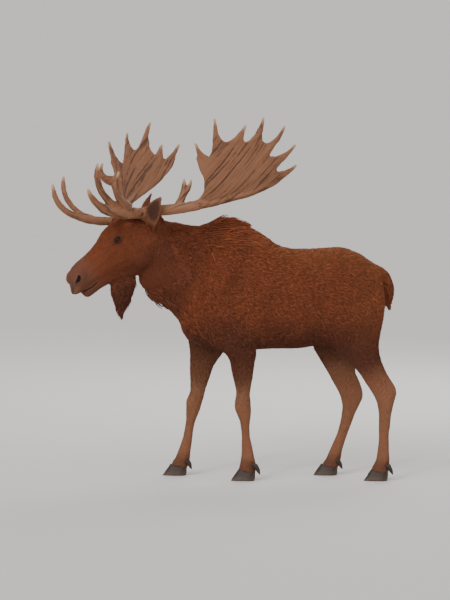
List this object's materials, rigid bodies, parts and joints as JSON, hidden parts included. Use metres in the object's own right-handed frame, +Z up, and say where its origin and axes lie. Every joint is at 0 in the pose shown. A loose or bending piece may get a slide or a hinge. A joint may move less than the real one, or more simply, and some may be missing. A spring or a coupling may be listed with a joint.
{
  "type": "bull moose",
  "caption": "Life-size standing bull moose with its head turned, palmate antlers, a hanging bell and cloven hooves, as a still museum model.",
  "frame": {"origin": "on the floor, under the middle of the whole model's box", "axes": "+Z up, the animal faces -X and its left side is toward -Y"},
  "size_m": [2.5124, 1.2624, 2.6667],
  "materials": {
    "coat": "short dense reddish-brown hair",
    "leg": "short paler grey-brown hair",
    "antler": "dull brown bone with paler tine tips",
    "hoof": "worn black horn",
    "eye": "wet dark brown"
  },
  "bodies": {
    "root": {"head": "coat", "neck": "coat", "trunk": "coat", "bell": "coat", "tail": "coat", "left_ear": "coat", "right_ear": "coat", "left_eye": "eye", "right_eye": "eye", "left_antler_brow": "antler", "left_antler_beam": "antler", "left_antler_palm": "antler", "right_antler_brow": "antler", "right_antler_beam": "antler", "right_antler_palm": "antler", "left_foreleg_upper": "coat", "left_foreleg_lower": "leg", "left_foreleg_left_claw": "hoof", "left_foreleg_right_claw": "hoof", "left_foreleg_left_dewclaw": "hoof", "left_foreleg_right_dewclaw": "hoof", "right_foreleg_upper": "coat", "right_foreleg_lower": "leg", "right_foreleg_left_claw": "hoof", "right_foreleg_right_claw": "hoof", "right_foreleg_left_dewclaw": "hoof", "right_foreleg_right_dewclaw": "hoof", "left_hindleg_upper": "coat", "left_hindleg_lower": "leg", "left_hindleg_left_claw": "hoof", "left_hindleg_right_claw": "hoof", "left_hindleg_left_dewclaw": "hoof", "left_hindleg_right_dewclaw": "hoof", "right_hindleg_upper": "coat", "right_hindleg_lower": "leg", "right_hindleg_left_claw": "hoof", "right_hindleg_right_claw": "hoof", "right_hindleg_left_dewclaw": "hoof", "right_hindleg_right_dewclaw": "hoof"}
  },
  "joints": []
}
